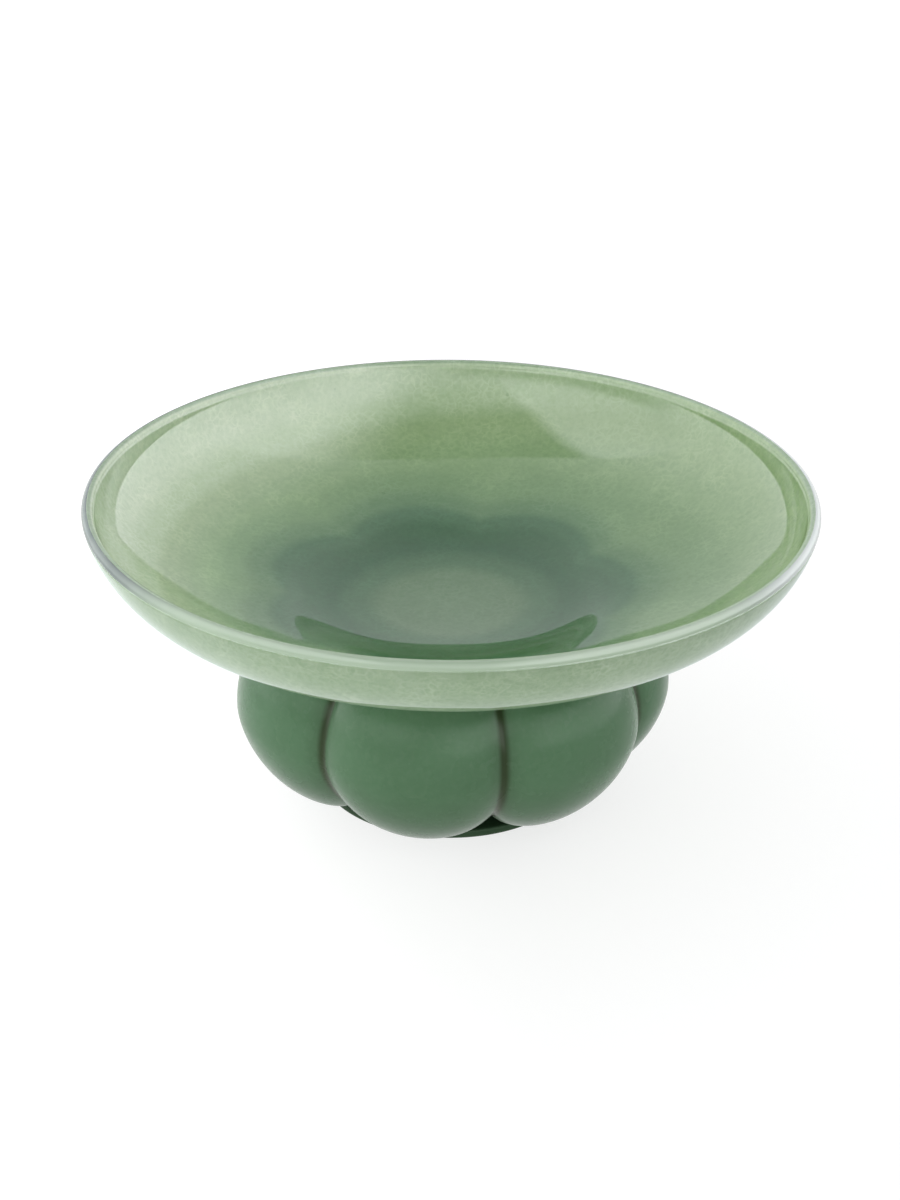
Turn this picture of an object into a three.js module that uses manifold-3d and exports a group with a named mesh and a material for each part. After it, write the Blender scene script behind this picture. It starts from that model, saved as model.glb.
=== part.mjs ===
// Footed art glass bowl. A wide, shallow bowl of pale green opal glass, cased outside in clear glass,
// is bonded to a hollow foot of darker green opal glass, blown into seven round lobes, which
// stands on a flat ground base disc.
// Units are millimetres, +Z is up, and the origin is the centre of the base on the table top.

import * as THREE from "three";
import { mergeVertices } from "three/addons/utils/BufferGeometryUtils.js";
import Module from "manifold-3d";

const wasm = await Module();
wasm.setup();

// ---- Driving dimensions ----------------------------------------------------------------------

const overallHeight = 133;
const rimRadius = 150;
const wallThickness = 5;
const casingThickness = 2.7; // clear outer part of the wall
const pieceGap = 0.3; // clearance between neighbouring pieces
const floorArcRadius = 336; // underside of the bowl's shallow floor, in section
const lipArcRadius = 44.5; // underside of the upturned lip, in section
const rimSlope = THREE.MathUtils.degToRad(76.5); // steepness of the wall where the rim begins

const lobeCount = 7;
const firstLobeAngle = THREE.MathUtils.degToRad(-10.7); // from the front, -Y, towards +X
const lobeCentreRadius = 64.5;
const lobeCentreHeight = 45.4;
const lobeHalfWidth = 39.7; // round the foot
const lobeHalfDepth = 28.6; // outwards
const lobeHalfHeight = 43.8;
const lobeLean = 17.4; // how far a lobe's top and bottom lean in towards the axis
const coreRadius = 74; // round body that the lobes bulge out of
const coreHalfHeight = 45;
const footWall = 4.5;
const neckRadius = 44; // opening at the top of the hollow foot

const bondThickness = 0.8;
const baseRadius = 56;
const baseThickness = 4;
const baseEdgeRadius = 1.5;

// ---- Resolution ------------------------------------------------------------------------------

const turnSegments = 56;
const floorArcSteps = 6;
const lipArcSteps = 6;
const rimArcSteps = 3;
const edgeArcSteps = 3;
const lobeColumns = 18;
const lobeRows = 12;

// ---- Bowl wall in section --------------------------------------------------------------------
// The wall follows two arcs that meet smoothly: a large one centred on the axis for the floor and
// a small one for the upturned lip. "Depth" is the distance inwards from the outer surface, so a
// negative depth lies below the bowl.

const halfWall = wallThickness / 2;
const lipCentre = new THREE.Vector2(
  rimRadius - halfWall - (lipArcRadius - halfWall) * Math.sin(rimSlope),
  overallHeight - halfWall + (lipArcRadius - halfWall) * Math.cos(rimSlope),
);
const arcCentreDistance = floorArcRadius - lipArcRadius;
const joinSlope = Math.asin(lipCentre.x / arcCentreDistance);
const floorCentre = new THREE.Vector2(0, lipCentre.y + arcCentreDistance * Math.cos(joinSlope));

function arcPoint(centre, radius, slope) {
  return new THREE.Vector2(
    centre.x + radius * Math.sin(slope),
    centre.y - radius * Math.cos(slope),
  );
}

function wallCurve(depth) {
  const points = [];
  for (let i = 0; i < floorArcSteps; i += 1) {
    const slope = (joinSlope * i) / floorArcSteps;
    points.push(arcPoint(floorCentre, floorArcRadius - depth, slope));
  }
  for (let i = 0; i <= lipArcSteps; i += 1) {
    const slope = joinSlope + ((rimSlope - joinSlope) * i) / lipArcSteps;
    points.push(arcPoint(lipCentre, lipArcRadius - depth, slope));
  }
  return points;
}

// The rim is a half-round over the whole wall. These are its points between two depths, ends left out.
function rimCurve(fromDepth, toDepth) {
  const middle = arcPoint(lipCentre, lipArcRadius - halfWall, rimSlope);
  const fromTurn = Math.acos(1 - fromDepth / halfWall);
  const toTurn = Math.acos(1 - toDepth / halfWall);
  const points = [];
  for (let i = 1; i <= rimArcSteps; i += 1) {
    const turn = fromTurn + ((toTurn - fromTurn) * i) / (rimArcSteps + 1);
    const slope = rimSlope + turn;
    points.push(arcPoint(middle, halfWall, slope));
  }
  return points;
}

// Where a layer's face at this depth meets the half-round rim.
function rimPoint(depth) {
  const middle = arcPoint(lipCentre, lipArcRadius - halfWall, rimSlope);
  return arcPoint(middle, halfWall, rimSlope + Math.acos(1 - depth / halfWall));
}

function turned(profile) {
  const geometry = new THREE.LatheGeometry(profile, turnSegments);
  geometry.rotateX(Math.PI / 2);
  return geometry;
}

function bowlLayerGeometry(fromDepth, toDepth) {
  const profile = [
    ...wallCurve(fromDepth),
    rimPoint(fromDepth),
    ...rimCurve(fromDepth, toDepth),
    rimPoint(toDepth),
    ...wallCurve(toDepth).reverse(),
  ];
  return turned(withoutRepeats(profile));
}

function withoutRepeats(points) {
  const smallestStep = 0.05;
  return points.filter((point, i) => i === 0 || point.distanceTo(points[i - 1]) > smallestStep);
}

// ---- Solids for booleans ---------------------------------------------------------------------

function toSolid(geometry) {
  const samePointDistance = 1e-4;
  const bare = geometry.clone();
  bare.deleteAttribute("normal");
  bare.deleteAttribute("uv");
  const merged = mergeVertices(bare, samePointDistance);
  return new wasm.Manifold(
    new wasm.Mesh({
      numProp: 3,
      vertProperties: new Float32Array(merged.attributes.position.array),
      triVerts: new Uint32Array(merged.index.array),
    }),
  );
}

function toGeometry(solid) {
  const mesh = solid.getMesh();
  const geometry = new THREE.BufferGeometry();
  geometry.setAttribute("position", new THREE.BufferAttribute(mesh.vertProperties, 3));
  geometry.setIndex(new THREE.BufferAttribute(mesh.triVerts, 1));
  geometry.computeVertexNormals();
  return geometry;
}

// ---- Foot ------------------------------------------------------------------------------------

// One lobe at the front of the foot, made smaller all round by inset. Its top and bottom lean in.
function lobeGeometry(inset) {
  const geometry = new THREE.SphereGeometry(1, lobeColumns, lobeRows);
  geometry.rotateX(Math.PI / 2);
  const position = geometry.attributes.position;
  for (let i = 0; i < position.count; i += 1) {
    const across = position.getX(i);
    const out = position.getY(i);
    const up = position.getZ(i);
    const lean = lobeLean * (1 - Math.hypot(across, out));
    position.setXYZ(
      i,
      across * (lobeHalfWidth - inset),
      out * (lobeHalfDepth - inset) - lobeCentreRadius + lean,
      up * (lobeHalfHeight - inset) + lobeCentreHeight,
    );
  }
  return geometry;
}

function lobedSolid(inset) {
  const core = new THREE.SphereGeometry(1, turnSegments, lobeRows);
  core.rotateX(Math.PI / 2);
  core.scale(coreRadius - inset, coreRadius - inset, coreHalfHeight - inset);
  core.translate(0, 0, lobeCentreHeight);
  let solid = toSolid(core);
  for (let i = 0; i < lobeCount; i += 1) {
    const lobe = lobeGeometry(inset);
    lobe.rotateZ(firstLobeAngle + (2 * Math.PI * i) / lobeCount);
    solid = solid.add(toSolid(lobe));
  }
  return solid;
}

// Everything that lies at least this far below the bowl's underside.
function spaceUnderBowl(drop) {
  const farBelow = -50;
  const farOutside = lobeCentreRadius + 2 * lobeHalfDepth;
  const curve = wallCurve(-drop).filter((point) => point.x < farOutside);
  const edge = curve[curve.length - 1].x;
  const profile = [new THREE.Vector2(0, farBelow), new THREE.Vector2(edge, farBelow), ...curve.reverse()];
  return toSolid(turned(profile));
}

// An upright cylinder round the axis, longer than the foot is high.
function plug(radius) {
  const geometry = new THREE.CylinderGeometry(radius, radius, overallHeight, turnSegments);
  geometry.rotateX(Math.PI / 2);
  geometry.translate(0, 0, overallHeight / 2 + lobeCentreHeight);
  return toSolid(geometry);
}

function baseGeometry(grow) {
  const top = baseThickness + grow;
  const radius = baseRadius + grow;
  const profile = [new THREE.Vector2(0, -grow), new THREE.Vector2(radius - baseEdgeRadius, -grow)];
  const addEdge = (height, fromTurn) => {
    for (let i = 1; i <= edgeArcSteps; i += 1) {
      const turn = fromTurn + (Math.PI / 2) * (i / edgeArcSteps);
      profile.push(
        new THREE.Vector2(
          radius - baseEdgeRadius + baseEdgeRadius * Math.cos(turn),
          height + baseEdgeRadius * Math.sin(turn),
        ),
      );
    }
  };
  addEdge(baseEdgeRadius - grow, -Math.PI / 2);
  addEdge(top - baseEdgeRadius, 0);
  profile.push(new THREE.Vector2(0, top));
  return turned(withoutRepeats(profile));
}

function footGeometry() {
  const footDrop = 2 * pieceGap + bondThickness;
  const cavity = lobedSolid(footWall).intersect(spaceUnderBowl(footDrop + footWall));
  const body = lobedSolid(0)
    .intersect(spaceUnderBowl(footDrop))
    .subtract(cavity)
    .subtract(plug(neckRadius))
    .subtract(toSolid(baseGeometry(pieceGap)));
  return toGeometry(body);
}

function bondGeometry() {
  const film = spaceUnderBowl(pieceGap).subtract(spaceUnderBowl(pieceGap + bondThickness));
  return toGeometry(film.intersect(lobedSolid(0)).subtract(plug(neckRadius)));
}

// ---- Materials -------------------------------------------------------------------------------

function glass(colour, roughness) {
  return new THREE.MeshStandardMaterial({ color: colour, roughness, metalness: 0 });
}

const clearGlass = glass("#c9d6d2", 0.04);
const paleOpalGlass = glass("#9fb894", 0.12);
const darkOpalGlass = glass("#4c6b4d", 0.1);
const baseGlass = glass("#2c442e", 0.15);
const bondClear = glass("#7f9f7c", 0.2);

// ---- Assembly --------------------------------------------------------------------------------

function piece(name, geometry, material) {
  const mesh = new THREE.Mesh(geometry, material);
  mesh.name = name;
  return mesh;
}

const footedBowl = new THREE.Group();
footedBowl.add(
  piece("bowl_clear_casing", bowlLayerGeometry(0, casingThickness), clearGlass),
  piece(
    "bowl_colour_layer",
    bowlLayerGeometry(casingThickness + pieceGap, wallThickness),
    paleOpalGlass,
  ),
  piece("bowl_to_foot_bond", bondGeometry(), bondClear),
  piece("foot_lobed_body", footGeometry(), darkOpalGlass),
  piece("foot_base_disc", baseGeometry(0), baseGlass),
);

export default footedBowl;
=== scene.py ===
"""Footed art glass bowl: the looks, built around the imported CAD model. Metres, +Z up, front at -Y."""

import math

import bpy
import numpy as np
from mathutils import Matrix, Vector


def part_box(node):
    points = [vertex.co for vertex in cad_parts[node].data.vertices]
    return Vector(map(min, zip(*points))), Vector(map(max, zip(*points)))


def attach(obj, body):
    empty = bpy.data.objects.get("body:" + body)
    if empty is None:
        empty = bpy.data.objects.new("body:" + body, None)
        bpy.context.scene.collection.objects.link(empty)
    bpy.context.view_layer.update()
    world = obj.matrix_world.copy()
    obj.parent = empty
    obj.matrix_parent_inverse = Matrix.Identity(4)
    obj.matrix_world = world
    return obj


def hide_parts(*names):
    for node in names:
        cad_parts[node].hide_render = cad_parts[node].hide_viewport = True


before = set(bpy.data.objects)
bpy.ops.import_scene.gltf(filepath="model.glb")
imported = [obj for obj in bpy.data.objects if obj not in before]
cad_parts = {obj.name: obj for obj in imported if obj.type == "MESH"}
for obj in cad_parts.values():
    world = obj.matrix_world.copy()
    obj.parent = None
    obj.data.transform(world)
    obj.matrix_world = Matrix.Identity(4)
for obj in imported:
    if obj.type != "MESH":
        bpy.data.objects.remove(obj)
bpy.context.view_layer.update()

MM = 0.001

# ---- Sizes from the frame --------------------------------------------------------------------

rim_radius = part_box("bowl_clear_casing")[1].x
top_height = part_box("bowl_clear_casing")[1].z
base_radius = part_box("foot_base_disc")[1].x
base_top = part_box("foot_base_disc")[1].z

# The bowl's section has the CAD's arcs: a floor arc centred on the axis and an upturned lip arc.
# Its two layers overlap slightly here, where the CAD keeps a small gap between them.
wall_thickness = 5.0 * MM
casing_thickness = 2.9 * MM
contact_overlap = 0.05 * MM
floor_arc_radius = 336 * MM
lip_arc_radius = 44.5 * MM
rim_slope = math.radians(76.5)
half_wall = wall_thickness / 2
lip_centre = np.array(
    [
        rim_radius - half_wall - (lip_arc_radius - half_wall) * math.sin(rim_slope),
        top_height - half_wall + (lip_arc_radius - half_wall) * math.cos(rim_slope),
    ]
)
arc_distance = floor_arc_radius - lip_arc_radius
join_slope = math.asin(lip_centre[0] / arc_distance)
floor_centre = np.array([0.0, lip_centre[1] + arc_distance * math.cos(join_slope)])

# The foot's lobes have the CAD's sizes. A fullness of 2 would make the upper or lower half of a lobe
# an ellipsoid, as in the CAD. A larger one makes it rounder, and a smaller one slimmer.
lobe_count = 7
first_lobe_angle = math.radians(-10.7)
lobe_centre_radius = 64.5 * MM
lobe_centre_height = 45.4 * MM
lobe_half = np.array([39.7, 28.6, 43.8]) * MM
lobe_lean = 17.4 * MM
core_radius = 74 * MM
core_half_height = 45 * MM
lobe_fullness_above = 2.2
lobe_fullness_below = 1.62
valley_softness = 3.0 * MM
shoulder_softness = 2.0 * MM

bowl_segments = 288
base_segments = 192
foot_columns = 56 * lobe_count
foot_rows = 150

# ---- Camera ----------------------------------------------------------------------------------

camera_distance = 6.5 * rim_radius
camera_elevation = math.radians(26.7)
camera_target = Vector((0.0, 0.0, 82.3 * MM))
camera_roll = math.radians(0.45)
rim_radius_in_frame_heights = 0.299


def add_camera():
    data = bpy.data.cameras.new("camera")
    camera = bpy.data.objects.new("camera", data)
    bpy.context.scene.collection.objects.link(camera)
    back = Vector((0, -math.cos(camera_elevation), math.sin(camera_elevation)))
    camera.location = camera_target + camera_distance * back
    camera.rotation_euler = back.to_track_quat("Z", "Y").to_euler()
    camera.rotation_euler.rotate_axis("Z", camera_roll)
    data.sensor_fit = "VERTICAL"
    frame_height = rim_radius / rim_radius_in_frame_heights
    data.angle_y = 2 * math.atan(frame_height / 2 / camera_distance)
    data.clip_start = 0.01
    data.clip_end = 50
    bpy.context.scene.camera = camera


# ---- Meshes ----------------------------------------------------------------------------------


def arc_point(centre, radius, slope):
    """The point of an arc where its slope has this angle, as (distance from the axis, height)."""
    return centre + radius * np.array([math.sin(slope), -math.cos(slope)])


def wall_curve(depth, floor_steps=44, lip_steps=30):
    """Points from the axis to the rim, this deep below the bowl's outer surface."""
    slopes = np.linspace(0, join_slope, floor_steps, endpoint=False)
    points = [arc_point(floor_centre, floor_arc_radius - depth, s) for s in slopes]
    slopes = np.linspace(join_slope, rim_slope, lip_steps)
    points += [arc_point(lip_centre, lip_arc_radius - depth, s) for s in slopes]
    return points


def rim_curve(from_depth, to_depth, steps=14):
    """The half-round rim between two depths, both ends included."""
    middle = arc_point(lip_centre, lip_arc_radius - half_wall, rim_slope)
    turns = [math.acos(1 - depth / half_wall) for depth in (from_depth, to_depth)]
    return [arc_point(middle, half_wall, rim_slope + t) for t in np.linspace(*turns, steps)]


# The inside of the wall isn't parallel to the outside. Its slope, in degrees, grows evenly from the
# axis, with a low step and a shelf at the ring that the foot is joined to, and then grows faster up
# the lip and again just under the rim. Radii and widths are in mm.
dish_slope_per_mm = 0.159
step_slope = 5.6
step_radius = 64.8
step_width = 11.4
shelf_slope = -4.0
shelf_radius = 73.8
shelf_width = 7.2
lip_slope = 26.7
lip_start = 83.5
upturn_slope = 28.3
upturn_start = 134.1
inner_edge_radius = (rim_radius - wall_thickness) / MM
# How far sideways, in mm, the rings of the inside lie off centre: one way at the step, the other
# way on the wall above it.
step_offset = -2.4
step_offset_width = 9
wall_offset = 3.0
wall_offset_radius = 108
wall_offset_width = 15


def hump(value, middle, width):
    return np.exp(-(((value - middle) / width) ** 2))


def growth(radius, start):
    """0 up to the start, then growing ever faster to 1 at the bowl's inner edge."""
    return np.clip((radius - start) / (inner_edge_radius - start), 0, None) ** 2


def inner_slope(radius):
    """Slope of the bowl's inside, in degrees, at a radius in mm."""
    slope = dish_slope_per_mm * radius
    slope += step_slope * hump(radius, step_radius, step_width)
    slope += shelf_slope * hump(radius, shelf_radius, shelf_width)
    slope += lip_slope * growth(radius, lip_start)
    return slope + upturn_slope * growth(radius, upturn_start)


def ring_offset(radius):
    """How far off centre a ring of the bowl's inside lies, in mm, at a radius in mm."""
    at_step = step_offset * hump(radius, step_radius, step_offset_width)
    return at_step + wall_offset * hump(radius, wall_offset_radius, wall_offset_width)


def inner_height(radius, angle, inner_edge, samples=2400):
    """Height of the bowl's inside at a radius and angle, measured down from its inner edge."""
    steps = np.linspace(0, inner_edge[0], samples)
    steepness = np.tan(np.radians(inner_slope(steps / MM)))
    shifted = steps - ring_offset(steps / MM) * MM * math.cos(angle)
    local = np.interp(shifted, steps, steepness)
    rise = np.concatenate([[0], np.cumsum((local[1:] + local[:-1]) / 2 * np.diff(steps))])
    even = np.concatenate([[0], np.cumsum((steepness[1:] + steepness[:-1]) / 2 * np.diff(steps))])
    # The floor is evened out towards the axis, where all angles meet at one height.
    fade = np.clip(1 - steps / steps[-1] * 2, 0, 1)
    rise += (rise[-1] - even[-1]) * fade
    return inner_edge[1] - rise[-1] + np.interp(radius, steps, rise)


def shape_inside(vertices, first_row, last_row, segments):
    """Gives the rows of the inside their real heights. Rows run from the inner edge to the axis."""
    edge = vertices[first_row * segments]
    inner_edge = (math.hypot(edge[0], edge[1]), edge[2])
    for j in range(segments):
        rows = np.arange(first_row, last_row) * segments + j
        angle = 2 * math.pi * j / segments
        radius = np.hypot(vertices[rows, 0], vertices[rows, 1])
        vertices[rows, 2] = inner_height(radius, angle, inner_edge)
    vertices[-1, 2] = inner_height(np.array([0.0]), 0.0, inner_edge)[0]
    return vertices


# The slight unevenness of a bowl shaped by hand, as waves round the rim: how much at the rim in
# mm, how many waves, and where they start.
lift_waves = [(0.28, 2, 0.6), (0.16, 3, 2.1), (0.08, 5, 0.0)]
stretch_waves = [(0.22, 2, 2.4), (0.12, 3, 0.3)]


def waves(angle, parts):
    return sum(amount * np.cos(count * angle + start) for amount, count, start in parts) * MM


def hand_blown(points):
    """Makes the bowl slightly uneven, growing towards the rim."""
    x, y, z = points.T
    angle = np.arctan2(y, x)
    share = (np.hypot(x, y) / rim_radius) ** 3
    z += share * waves(angle, lift_waves)
    scale = 1 + share * waves(angle, stretch_waves) / rim_radius
    return np.stack([x * scale, y * scale, z], axis=1)


def new_object(name, vertices, faces, materials, face_slots=None):
    mesh = bpy.data.meshes.new(name)
    mesh.from_pydata([tuple(v) for v in vertices], [], faces)
    for material in materials:
        mesh.materials.append(material)
    if face_slots is not None:
        mesh.polygons.foreach_set("material_index", np.array(face_slots, np.int32))
    mesh.polygons.foreach_set("use_smooth", np.ones(len(mesh.polygons), bool))
    mesh.update()
    piece = bpy.data.objects.new(name, mesh)
    bpy.context.scene.collection.objects.link(piece)
    return piece


def lathe(name, profile, materials, segments, row_slots=None, shape=None):
    """Turns a profile that starts and ends on the axis. row_slots gives each row its material."""
    profile = np.array(profile)
    inner = profile[1:-1]
    angles = 2 * np.pi * np.arange(segments) / segments
    ring = np.stack([np.cos(angles), np.sin(angles)], axis=1)
    rows = inner[:, None, 0, None] * ring
    heights = np.repeat(inner[:, 1, None], segments, axis=1)[..., None]
    vertices = np.concatenate([rows, heights], axis=2).reshape(-1, 3)
    poles = np.array([[0, 0, profile[0, 1]], [0, 0, profile[-1, 1]]])
    vertices = np.concatenate([vertices, poles])
    first, last = len(vertices) - 2, len(vertices) - 1
    faces, slots = [], []
    row_slots = row_slots or [0] * (len(profile) - 1)
    for j in range(segments):
        k = (j + 1) % segments
        faces.append((first, k, j))
        slots.append(row_slots[0])
    for i in range(len(inner) - 1):
        for j in range(segments):
            k = (j + 1) % segments
            low, high = i * segments, (i + 1) * segments
            faces.append((low + j, low + k, high + k, high + j))
            slots.append(row_slots[i + 1])
    end = (len(inner) - 1) * segments
    for j in range(segments):
        k = (j + 1) % segments
        faces.append((end + j, end + k, last))
        slots.append(row_slots[-1])
    if shape is not None:
        vertices = shape(vertices)
    return new_object(name, vertices, faces, materials, slots)


def bowl_layer(name, from_depth, to_depth, outside, rim, inside):
    """One layer of the bowl's wall, with a material for its outer face, its rim and its inner face."""
    outer_curve = wall_curve(from_depth)
    top_curve = rim_curve(from_depth, to_depth)
    inner_curve = wall_curve(to_depth)[::-1]
    profile = outer_curve + top_curve + inner_curve
    row_slots = [0] * len(outer_curve) + [1] * (len(top_curve) - 1) + [2] * len(inner_curve)

    def shape(vertices):
        if to_depth == wall_thickness:
            first_row = len(outer_curve) + len(top_curve) - 1
            vertices = shape_inside(vertices, first_row, len(profile) - 2, bowl_segments)
        return hand_blown(vertices)

    return lathe(name, profile, [outside, rim, inside], bowl_segments, row_slots, shape)


def ellipsoid_distance(points, half):
    """About how far the points are outside an ellipsoid, below 0 inside it."""
    scaled = np.linalg.norm(points / half, axis=-1)
    steepness = np.linalg.norm(points / half**2, axis=-1)
    return scaled * (scaled - 1) / np.maximum(steepness, 1e-9)


def soft_union(a, b, softness):
    """The smaller of two distances, with a soft valley where they meet."""
    mix = np.clip(softness - np.abs(a - b), 0, None) / softness
    return np.minimum(a, b) - mix**3 * softness / 6


def under_bowl_height(radius):
    """Height of the bowl's underside, where its floor arc is."""
    return floor_centre[1] - np.sqrt(floor_arc_radius**2 - radius**2)


def foot_distance(points):
    """Signed distance to the foot's outer surface: seven lobes round a core, cut by the bowl."""
    x, y, z = points[..., 0], points[..., 1], points[..., 2]
    core_half = np.array([core_radius, core_radius, core_half_height])
    centred = points - np.array([0, 0, lobe_centre_height])
    distance = ellipsoid_distance(centred, core_half)
    share = (z - lobe_centre_height) / lobe_half[2]
    fullness = np.where(share > 0, lobe_fullness_above, lobe_fullness_below)
    level = np.abs(share) ** (fullness / 2) * np.sign(share)
    lean = lobe_lean * (1 - np.sqrt(1 - np.clip(np.abs(level), 0, 1) ** 2))
    for i in range(lobe_count):
        angle = first_lobe_angle + 2 * math.pi * i / lobe_count
        outward = x * math.sin(angle) - y * math.cos(angle)
        across = x * math.cos(angle) + y * math.sin(angle)
        local = np.stack(
            [across, outward - lobe_centre_radius + lean, level * lobe_half[2]], axis=-1
        )
        distance = soft_union(distance, ellipsoid_distance(local, lobe_half), valley_softness)
    lid = z - under_bowl_height(np.hypot(x, y))
    return -soft_union(-distance, -lid, shoulder_softness)


def foot_surface(columns, rows, shortest=20 * MM, longest=130 * MM, halvings=30):
    """The foot's surface as a grid of rays from its middle, each followed to where it leaves."""
    middle = np.array([0, 0, lobe_centre_height])
    turn = 2 * np.pi * np.arange(columns) / columns
    tilt = np.linspace(0, np.pi, rows + 2)[1:-1]
    tilt_grid, turn_grid = np.meshgrid(tilt, turn, indexing="ij")
    rays = np.stack(
        [
            np.sin(tilt_grid) * np.cos(turn_grid),
            np.sin(tilt_grid) * np.sin(turn_grid),
            -np.cos(tilt_grid),
        ],
        axis=-1,
    )
    near = np.full(tilt_grid.shape, shortest)
    far = np.full(tilt_grid.shape, longest)
    for _ in range(halvings):
        half_way = (near + far) / 2
        inside = foot_distance(middle + rays * half_way[..., None]) < 0
        near = np.where(inside, half_way, near)
        far = np.where(inside, far, half_way)
    return middle + rays * near[..., None]


def build_foot(material):
    """The foot's outside. Its hollow inside is left out, because nothing shows it."""
    rows, columns = foot_rows, foot_columns
    grid = foot_surface(columns, rows)
    vertices = grid.reshape(-1, 3)
    bottom = [0, 0, grid[0, :, 2].mean()]
    top = [0, 0, grid[-1, :, 2].mean()]
    vertices = np.concatenate([vertices, [bottom, top]])
    first, last = len(vertices) - 2, len(vertices) - 1
    faces = []
    for j in range(columns):
        k = (j + 1) % columns
        faces.append((first, k, j))
        for i in range(rows - 1):
            low, high = i * columns, (i + 1) * columns
            faces.append((low + j, low + k, high + k, high + j))
        faces.append(((rows - 1) * columns + j, (rows - 1) * columns + k, last))
    return new_object("foot_lobed_body_glass", vertices, faces, [material])


# ---- Materials -------------------------------------------------------------------------------

glass_ior = 1.5


class Nodes:
    """The node tree of a material or the world, with short ways to add nodes and feed their inputs."""

    def __init__(self, name, world=False):
        self.owner = (bpy.data.worlds if world else bpy.data.materials).new(name)
        self.owner.use_nodes = True
        self.tree = self.owner.node_tree
        self.tree.nodes.clear()
        self.output = self.tree.nodes.new("ShaderNodeOutput" + ("World" if world else "Material"))

    def feed(self, socket, value):
        """Links another node's output to an input, or sets the input to a number or a colour."""
        if isinstance(value, bpy.types.NodeSocket):
            self.tree.links.new(value, socket)
        elif socket.type == "RGBA":
            socket.default_value = (*value, 1)
        else:
            socket.default_value = value

    def add(self, kind, inputs=None, **settings):
        node = self.tree.nodes.new("ShaderNode" + kind)
        for key, value in settings.items():
            setattr(node, key, value)
        for key, value in (inputs or {}).items():
            self.feed(node.inputs[key], value)
        return node

    def math(self, operation, *values):
        return self.add("Math", dict(enumerate(values)), operation=operation).outputs[0]

    def smooth_step(self, value, low, high, to_low=0.0, to_high=1.0):
        inputs = {"Value": value, "From Min": low, "From Max": high, "To Min": to_low, "To Max": to_high}
        return self.add("MapRange", inputs, interpolation_type="SMOOTHSTEP").outputs["Result"]

    def mix(self, factor, a, b, blend_type="MIX"):
        """The colour a where the factor is 0, and the colour b where it is 1."""
        node = self.add("Mix", {0: factor, 6: a, 7: b}, data_type="RGBA", blend_type=blend_type)
        return node.outputs[2]

    def blend(self, factor, a, b):
        """The number a where the factor is 0, and the number b where it is 1."""
        return self.add("Mix", {0: factor, 2: a, 3: b}, data_type="FLOAT").outputs[0]

    def place(self):
        """The point being shaded, in metres."""
        return self.add("TexCoord").outputs["Object"]

    def coordinates(self):
        return self.add("SeparateXYZ", {"Vector": self.place()}).outputs

    def noise(self, scale, detail=2.0, roughness=0.5):
        inputs = {"Vector": self.place(), "Scale": scale, "Detail": detail, "Roughness": roughness}
        return self.add("TexNoise", inputs).outputs["Fac"]

    def uneven(self, scale, low, high):
        """A number that wanders between two values, for a polish that isn't quite even."""
        return self.smooth_step(self.noise(scale, 3.0, 0.6), 0.3, 0.8, low, high)

    def ripple(self, scale, detail, strength, height):
        """The normal of a softly rippled surface."""
        inputs = {"Height": self.noise(scale, detail), "Strength": strength, "Distance": height}
        return self.add("Bump", inputs).outputs["Normal"]

    def surface(self, inputs, **settings):
        """The finished material, with one Principled shader."""
        return self.finish(self.add("BsdfPrincipled", inputs, **settings))

    def finish(self, shader):
        self.tree.links.new(shader.outputs[0], self.output.inputs["Surface"])
        return self.owner


def scattering(weight, depth):
    """The Principled inputs of opal glass, where light scatters about this deep."""
    return {
        "Subsurface Weight": weight,
        "Subsurface Radius": (1.0, 1.0, 1.0),
        "Subsurface Scale": depth,
    }


# Colour of the bowl seen from inside, from the axis outwards: radius in mm and the colour there.
# Painted light and shade: the glass is painted dark where the foot blocks the light behind it, paler
# over the foot's opening, and darker from the rim in towards the foot.
inside_painted_shade_colours = [
    (0, (0.135, 0.228, 0.125)),
    (26, (0.118, 0.208, 0.110)),
    (38, (0.062, 0.155, 0.072)),
    (50, (0.028, 0.112, 0.044)),
    (64, (0.034, 0.122, 0.048)),
    (75, (0.058, 0.155, 0.070)),
    (84, (0.120, 0.230, 0.110)),
    (97, (0.185, 0.302, 0.148)),
    (112, (0.250, 0.368, 0.186)),
    (128, (0.300, 0.412, 0.216)),
    (139, (0.410, 0.520, 0.325)),
    (150, (0.520, 0.610, 0.440)),
]
# The painted shadow of the foot takes the lobes' outline: over the creases between the lobes the
# colours are pulled inwards. That fades in over the first pair of radii and out over the second.
shadow_petal_depth = 10 * MM
shadow_petals_begin = (45 * MM, 66 * MM)
shadow_petals_end = (90 * MM, 115 * MM)
shadow_edge_wobble = 1.5 * MM
# Painted light: on the wall they are shifted by a share of the sideways distance, so the left side
# is painted paler, as if more light falls on it.
painted_light_sideways_shift = -0.11
painted_light_shift_begins = (85 * MM, 125 * MM)
rim_begins = (145.4 * MM, 146.2 * MM)
rim_colour = (0.33, 0.43, 0.30)
outside_colour = (0.39, 0.465, 0.315)


def radius_and_angle(nodes):
    """The distance from the axis, and the angle round it from the front."""
    x, y, _ = nodes.coordinates()
    squares = nodes.math("ADD", nodes.math("MULTIPLY", x, x), nodes.math("MULTIPLY", y, y))
    angle = nodes.math("ARCTAN2", x, nodes.math("MULTIPLY", y, -1.0))
    return nodes.math("SQRT", squares), angle


def petal(nodes, angle):
    """1 on the middle of each of the foot's lobes, down to 0 in the creases between them."""
    turn = nodes.math("MULTIPLY", nodes.math("SUBTRACT", angle, first_lobe_angle), lobe_count / 2)
    return nodes.math("ABSOLUTE", nodes.math("COSINE", turn))


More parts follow.
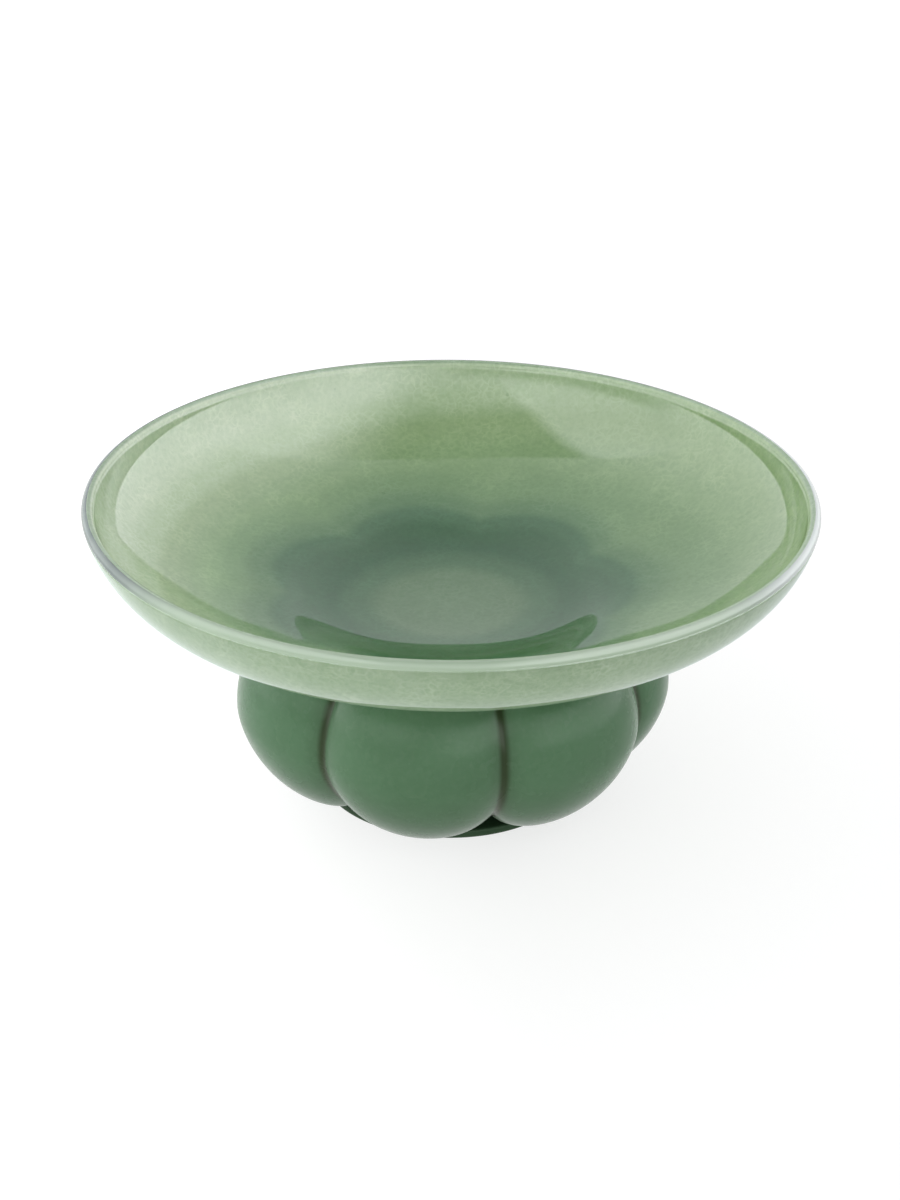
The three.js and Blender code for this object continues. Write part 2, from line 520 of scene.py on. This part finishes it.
def colour_by_radius(nodes, radius, stops):
    """A colour ramp over the bowl's radius. All places are set first, so that none changes order."""
    node = nodes.add("ValToRGB", {"Fac": nodes.math("DIVIDE", radius, rim_radius)})
    ramp = node.color_ramp
    ramp.interpolation = "EASE"
    while len(ramp.elements) < len(stops):
        ramp.elements.new(0.5)
    for element, stop in zip(ramp.elements, stops):
        element.position = stop[0] * MM / rim_radius
    for element, stop in zip(ramp.elements, stops):
        element.color = (*stop[1], 1)
    return node.outputs["Color"]


# The inside's colour, with its painted shadow of the foot and painted light on the left.
def inside_colour_with_painted_shade(nodes):
    radius, angle = radius_and_angle(nodes)
    valley = nodes.math("SUBTRACT", 1.0, petal(nodes, angle))
    begins = nodes.smooth_step(radius, *shadow_petals_begin)
    ends = nodes.smooth_step(radius, *shadow_petals_end, 1.0, 0.0)
    near_edge = nodes.math("MULTIPLY", begins, ends)
    pull = nodes.math("MULTIPLY", nodes.math("MULTIPLY", valley, near_edge), shadow_petal_depth)
    wobble = nodes.math("MULTIPLY", nodes.math("SUBTRACT", nodes.noise(30.0), 0.5), shadow_edge_wobble)
    pulled = nodes.math("ADD", nodes.math("ADD", radius, pull), wobble)
    share = nodes.smooth_step(radius, *painted_light_shift_begins, 0.0, painted_light_sideways_shift)
    shift = nodes.math("MULTIPLY", nodes.coordinates()["X"], share)
    colour = colour_by_radius(nodes, nodes.math("ADD", pulled, shift), inside_painted_shade_colours)
    return nodes.mix(nodes.smooth_step(radius, *rim_begins), colour, rim_colour)


# What the grain of powder glass multiplies the colour by.
cloud_tint = (0.86, 0.90, 0.84)
grain_tint = (0.84, 0.88, 0.83)
vein_tint = (1.22, 1.16, 1.22)
speck_tint = (0.5, 0.6, 0.5)
# How far the veins are bent out of straight, in metres, and how wide and dense they are.
vein_bend = 0.006
bend_scale = 160.0
vein_scale = 300.0
vein_width = 0.2
speck_scale = 55.0
speck_edge = (0.03, 0.06)
speck_strength = 0.35


def mottled(nodes, colour, strength):
    """Adds the fine grain of powder glass: soft clouds, small cells with paler veins, and specks."""
    clouds = nodes.smooth_step(nodes.noise(24.0, 4.0, 0.6), 0.3, 0.7, 0.0, strength)
    colour = nodes.mix(clouds, colour, cloud_tint, "MULTIPLY")
    grain = nodes.smooth_step(nodes.noise(420.0, 3.0, 0.65), 0.35, 0.7, 0.0, strength)
    colour = nodes.mix(grain, colour, grain_tint, "MULTIPLY")
    warp = nodes.add("TexNoise", {"Vector": nodes.place(), "Scale": bend_scale, "Detail": 2.0})
    bent = nodes.mix(vein_bend, nodes.place(), warp.outputs["Color"])
    cells = nodes.add("TexVoronoi", {"Vector": bent, "Scale": vein_scale}, feature="DISTANCE_TO_EDGE")
    vein = nodes.smooth_step(cells.outputs["Distance"], 0.0, vein_width, strength, 0.0)
    patchy = nodes.smooth_step(nodes.noise(70.0, 3.0, 0.6), 0.3, 0.7)
    colour = nodes.mix(nodes.math("MULTIPLY", vein, patchy), colour, vein_tint, "MULTIPLY")
    specks = nodes.add("TexVoronoi", {"Vector": nodes.place(), "Scale": speck_scale})
    dots = nodes.smooth_step(specks.outputs["Distance"], *speck_edge, speck_strength, 0.0)
    return nodes.mix(dots, colour, speck_tint, "MULTIPLY")


def pale_opal_inside():
    """The colour layer's inner face: polished, with a slight ripple."""
    nodes = Nodes("pale_opal_inside")
    inputs = {
        "Base Color": mottled(nodes, inside_colour_with_painted_shade(nodes), strength=0.7),
        "Roughness": nodes.uneven(90.0, 0.004, 0.03),
        "IOR": glass_ior,
        "Normal": nodes.ripple(20.0, 1.0, strength=0.05, height=0.5 * MM),
        **scattering(1.0, 1.6 * MM),
    }
    return nodes.surface(inputs, subsurface_method="RANDOM_WALK")


def pale_opal_outside():
    """The colour layer's outer face. It is fused to the clear layer, so it has no shine of its own."""
    nodes = Nodes("pale_opal_outside")
    inputs = {
        "Base Color": mottled(nodes, outside_colour, strength=1.0),
        "Roughness": 0.6,
        "IOR": glass_ior,
        "Specular IOR Level": 0.0,
        **scattering(1.0, 1.6 * MM),
    }
    return nodes.surface(inputs, subsurface_method="RANDOM_WALK")


def clear_casing_glass():
    """Clear glass that lets light through to the colour behind it."""
    nodes = Nodes("clear_casing_glass")
    glass = nodes.add("BsdfGlass", {"Color": (0.85, 0.90, 0.91), "Roughness": 0.0, "IOR": glass_ior})
    clear = nodes.add("BsdfTransparent", {"Color": (0.95, 0.97, 0.965)})
    rays = nodes.add("LightPath").outputs
    soft_rays = nodes.math("MAXIMUM", rays["Is Shadow Ray"], rays["Is Diffuse Ray"])
    mixed = nodes.add("MixShader", {0: soft_rays, 1: glass.outputs[0], 2: clear.outputs[0]})
    return nodes.finish(mixed)


# The rim's painted look: grey as clear glass looks edge on, a painted highlight at the right end, and the
# green seen through it painted at the front.
rim_grey_dark = (0.10, 0.13, 0.135)
rim_grey_pale = (0.15, 0.185, 0.185)
rim_painted_highlight = (0.62, 0.66, 0.65)
rim_front = (0.38, 0.48, 0.355)
rim_opacity = 0.85


def rim_glass():
    """The clear glass at the rim: fire-polished, and painted greyer as glass looks seen edge on. A
    painted highlight makes it whiter at the right end, and the green seen through it is painted at the
    front."""
    nodes = Nodes("rim_glass")
    glass = nodes.add("BsdfGlass", {"Color": (0.80, 0.87, 0.88), "Roughness": 0.0, "IOR": glass_ior})
    x, y, _ = nodes.coordinates()
    streaks = nodes.smooth_step(nodes.noise(60.0), 0.3, 0.7)
    colour = nodes.mix(streaks, rim_grey_dark, rim_grey_pale)
    colour = nodes.mix(nodes.smooth_step(x, 90 * MM, 140 * MM), colour, rim_painted_highlight)
    colour = nodes.mix(nodes.smooth_step(y, -118 * MM, -75 * MM), rim_front, colour)
    solid = nodes.add("BsdfPrincipled", {"Base Color": colour, "Roughness": 0.02, "IOR": glass_ior})
    mixed = nodes.add("MixShader", {0: rim_opacity, 1: glass.outputs[0], 2: solid.outputs[0]})
    return nodes.finish(mixed)


foot_colours = ((0.082, 0.168, 0.087), (0.096, 0.190, 0.103))
foot_grain = (0.12, 0.215, 0.125)
# Painted shade: darker towards the floor and beside the creases. The crease lines are partly dark thick
# glass and partly painted shade.
foot_low_painted_shade = (0.030, 0.070, 0.030)
foot_shade = (0.045, 0.085, 0.04)
foot_crease_glass_and_shade = (0.028, 0.045, 0.016)


def foot_colour(nodes):
    """Dark green, with painted shade towards the floor and beside the creases, and crease lines that
    are partly dark thick glass and partly painted shade.
    """
    clouds = nodes.smooth_step(nodes.noise(20.0, 4.0, 0.6), 0.3, 0.7)
    colour = nodes.mix(clouds, *foot_colours)
    grain = nodes.smooth_step(nodes.noise(420.0, 3.0, 0.6), 0.4, 0.75, 0.0, 0.35)
    colour = nodes.mix(grain, colour, foot_grain)
    low = nodes.smooth_step(nodes.coordinates()["Z"], 5 * MM, 62 * MM, 0.72, 0.0)
    colour = nodes.mix(low, colour, foot_low_painted_shade)
    _, angle = radius_and_angle(nodes)
    from_crease = petal(nodes, angle)
    shade = nodes.smooth_step(from_crease, 0.0, 0.35, 0.35, 0.0)
    colour = nodes.mix(shade, colour, foot_shade)
    crease = nodes.smooth_step(from_crease, 0.02, 0.13, 0.95, 0.0)
    return nodes.mix(crease, colour, foot_crease_glass_and_shade)


def dark_opal_glass():
    nodes = Nodes("dark_opal_glass")
    inputs = {
        "Base Color": foot_colour(nodes),
        "Roughness": nodes.uneven(70.0, 0.22, 0.32),
        "IOR": glass_ior,
        "Specular IOR Level": 0.12,
        "Sheen Weight": 0.14,
        "Sheen Roughness": 0.35,
        "Normal": nodes.ripple(28.0, 2.0, strength=0.15, height=0.6 * MM),
        **scattering(0.3, 1.5 * MM),
    }
    return nodes.surface(inputs)


# The base disc's very dark green is partly its thick glass and partly painted shade of the contact under
# the foot.
def base_glass():
    nodes = Nodes("dark_base_glass")
    clouds = nodes.smooth_step(nodes.noise(40.0, 3.0, 0.6), 0.3, 0.7)
    colour = nodes.mix(clouds, (0.026, 0.056, 0.027), (0.036, 0.072, 0.036))
    return nodes.surface({"Base Color": colour, "Roughness": 0.4, "Specular IOR Level": 0.1})


def bond_film():
    nodes = Nodes("bond_film")
    clouds = nodes.smooth_step(nodes.noise(60.0), 0.3, 0.7)
    colour = nodes.mix(clouds, (0.10, 0.2, 0.11), (0.14, 0.25, 0.15))
    return nodes.surface({"Base Color": colour, "Roughness": 0.2})


# The floor glows more on the left than on the right. It fades between these two places, in metres.
floor_glow_left = 1.08
floor_glow_right = 0.76
floor_glow_fade = (-0.25, 0.05)


def floor_material():
    """White acrylic over a soft light, so shadows on it stay pale."""
    nodes = Nodes("floor_acrylic")
    grain = nodes.smooth_step(nodes.noise(900.0), 0.3, 0.7)
    side = nodes.coordinates()["X"]
    inputs = {
        "Base Color": nodes.mix(grain, (0.26, 0.26, 0.26), (0.28, 0.28, 0.28)),
        "Roughness": 0.8,
        "Specular IOR Level": 0.1,
        "Emission Color": (1.0, 1.0, 1.0),
        "Emission Strength": nodes.smooth_step(side, *floor_glow_fade, floor_glow_left, floor_glow_right),
    }
    return nodes.surface(inputs)


# ---- Pieces ----------------------------------------------------------------------------------


def keep(piece, node):
    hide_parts(node)
    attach(piece, "root")


def build_bowl():
    clear = clear_casing_glass()
    casing_depth = casing_thickness + contact_overlap
    casing = bowl_layer("bowl_clear_casing_glass", 0.0, casing_depth, clear, rim_glass(), clear)
    keep(casing, "bowl_clear_casing")
    outside = pale_opal_outside()
    inside = pale_opal_inside()
    layer_name = "bowl_colour_layer_glass"
    layer = bowl_layer(layer_name, casing_thickness, wall_thickness, outside, inside, inside)
    keep(layer, "bowl_colour_layer")


def base_profile(edge=1.5 * MM, cone_radius=40 * MM, cone_height=5 * MM, steps=10):
    """The base disc with round edges, and a low cone with a flat top on it, inside the foot."""
    points = [(0, 0), (base_radius - edge, 0)]
    for height, start in ((edge, -math.pi / 2), (base_top - edge, 0)):
        for i in range(1, steps + 1):
            turn = start + math.pi / 2 * i / steps
            points.append((base_radius - edge + edge * math.cos(turn), height + edge * math.sin(turn)))
    cone_top = base_top + cone_height
    return points + [(cone_radius, cone_top), (0, cone_top)]


def build_foot_pieces():
    keep(build_foot(dark_opal_glass()), "foot_lobed_body")
    base = lathe("foot_base_disc_glass", base_profile(), [base_glass()], base_segments)
    keep(base, "foot_base_disc")
    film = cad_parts["bowl_to_foot_bond"].data.materials
    film.clear()
    film.append(bond_film())


# ---- Studio ----------------------------------------------------------------------------------

floor_half_size = 6.0

# How bright the parts of the studio are in reflections.
backdrop_light = 1.0
gap_light = 0.5
front_light = 2.2
low_front_light = 1.0
left_box_light = 2.9
right_box_light = 4.3

# Where they begin and end in the direction of a ray: x to the right, y to the back and z up.
backdrop_edge = (0.36, 0.42)
left_box_edge = (-0.33, -0.25)
right_box_edge = (0.08, 0.45)
left_to_right = (-0.2, 0.2)
front_edge = (-0.3, 0.0)
low_edge = (0.14, 0.40)
low_front_edge = (-0.5, -0.1)
low_lift = 0.25
low_lift_edge = (-0.1, 0.15)

# A power that shapes how the backdrop gets brighter towards the sides.
sideways_power = 0.85

# The light on matt surfaces: even, and tilted from side to side by a share, more so from below.
even_light = 1.0
tilt_share = 0.7
tilt_from_below = 2.2
seen_light = 1.0
studio_tint = (0.97, 0.98, 1.0)


def add_floor():
    size = floor_half_size
    corners = [(-size, -size, 0), (size, -size, 0), (size, size, 0), (-size, size, 0)]
    new_object("floor", corners, [(0, 1, 2, 3)], [floor_material()])


def mirrored_light(nodes, x, y, z):
    """What reflections see: a tall box on each side, a backdrop, a dark gap overhead and a pale front."""
    x_squared = nodes.math("MULTIPLY", x, x)
    flat_squared = nodes.math("MULTIPLY_ADD", y, y, x_squared)
    sideways = nodes.math("DIVIDE", x_squared, nodes.math("MAXIMUM", flat_squared, 0.0001))
    sideways = nodes.math("POWER", sideways, sideways_power)
    side_level = nodes.smooth_step(x, *left_to_right, left_box_light, right_box_light)
    backdrop_level = nodes.math("MULTIPLY_ADD", sideways, side_level, backdrop_light)
    box_level = nodes.math("ADD", side_level, backdrop_light)
    left_box = nodes.smooth_step(x, *left_box_edge, 1.0, 0.0)
    boxes = nodes.math("ADD", left_box, nodes.smooth_step(x, *right_box_edge))
    front = nodes.smooth_step(y, *front_edge, front_light, 0.0)
    front = nodes.math("MULTIPLY", nodes.math("SQRT", flat_squared), front)
    open_level = nodes.blend(boxes, nodes.math("ADD", front, gap_light), box_level)
    height = nodes.math("MAXIMUM", z, 0.002)
    backdrop = nodes.smooth_step(nodes.math("DIVIDE", y, height), *backdrop_edge)
    level = nodes.blend(backdrop, open_level, backdrop_level)
    lift = nodes.math("ADD", z, nodes.smooth_step(x, *low_lift_edge, 0.0, low_lift))
    low = nodes.smooth_step(lift, *low_edge, 1.0, 0.0)
    low_front = nodes.math("MULTIPLY", low, nodes.smooth_step(y, *low_front_edge, 1.0, 0.0))
    return nodes.blend(low_front, level, low_front_light)


def soft_light(nodes, x, z):
    """The light on matt surfaces. Overhead it is stronger on the right, and lower down on the left."""
    rise = nodes.math("MULTIPLY_ADD", z, 2.0, -1.0)
    rise = nodes.math("MINIMUM", rise, nodes.math("MULTIPLY", rise, tilt_from_below))
    tilt = nodes.math("MULTIPLY", x, rise)
    level = nodes.math("MULTIPLY_ADD", tilt, even_light * tilt_share, even_light)
    return nodes.math("MAXIMUM", level, 0.0)


def add_studio_world():
    """A product studio as a sky, which the camera sees as plain white."""
    nodes = Nodes("studio", world=True)
    direction = nodes.add("TexCoord").outputs["Generated"]
    x, y, z = nodes.add("SeparateXYZ", {"Vector": direction}).outputs
    rays = nodes.add("LightPath").outputs
    straight = nodes.math("MAXIMUM", rays["Is Camera Ray"], rays["Is Transmission Ray"])
    level = nodes.blend(straight, soft_light(nodes, x, z), seen_light)
    level = nodes.blend(rays["Is Glossy Ray"], level, mirrored_light(nodes, x, y, z))
    background = nodes.add("Background", {"Color": studio_tint, "Strength": level})
    bpy.context.scene.world = nodes.finish(background)


add_camera()
build_bowl()
build_foot_pieces()
add_floor()
add_studio_world()
bpy.context.scene.view_settings.view_transform = "Standard"
